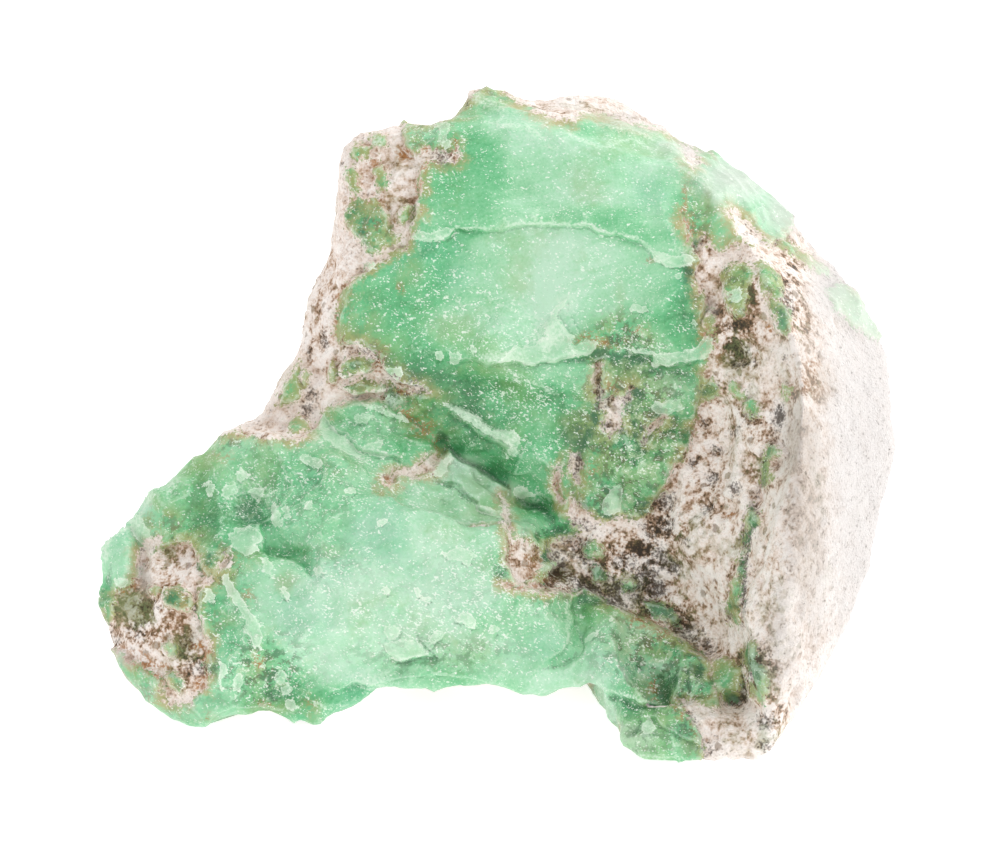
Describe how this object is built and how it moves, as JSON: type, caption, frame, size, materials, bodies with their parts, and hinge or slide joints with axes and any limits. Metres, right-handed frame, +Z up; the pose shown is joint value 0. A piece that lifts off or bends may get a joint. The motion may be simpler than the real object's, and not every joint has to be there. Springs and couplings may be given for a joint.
{
  "type": "raw variscite stone",
  "caption": "Rough broken lump of green variscite in pale limestone-like matrix, with a fresh concave face, a low foot and a flat rest underneath.",
  "frame": {"origin": "middle of the bounding box's bottom, on the rest plane", "axes": "+X to the right along the longest extent, +Y to the back, +Z up; the fresh green face looks to -Y and leans back 30 degrees"},
  "size_m": [0.0504, 0.0411, 0.0312],
  "materials": {
    "variscite_stone": "waxy, partly chalky"
  },
  "bodies": {
    "root": {"variscite_stone": "variscite_stone"}
  },
  "joints": []
}
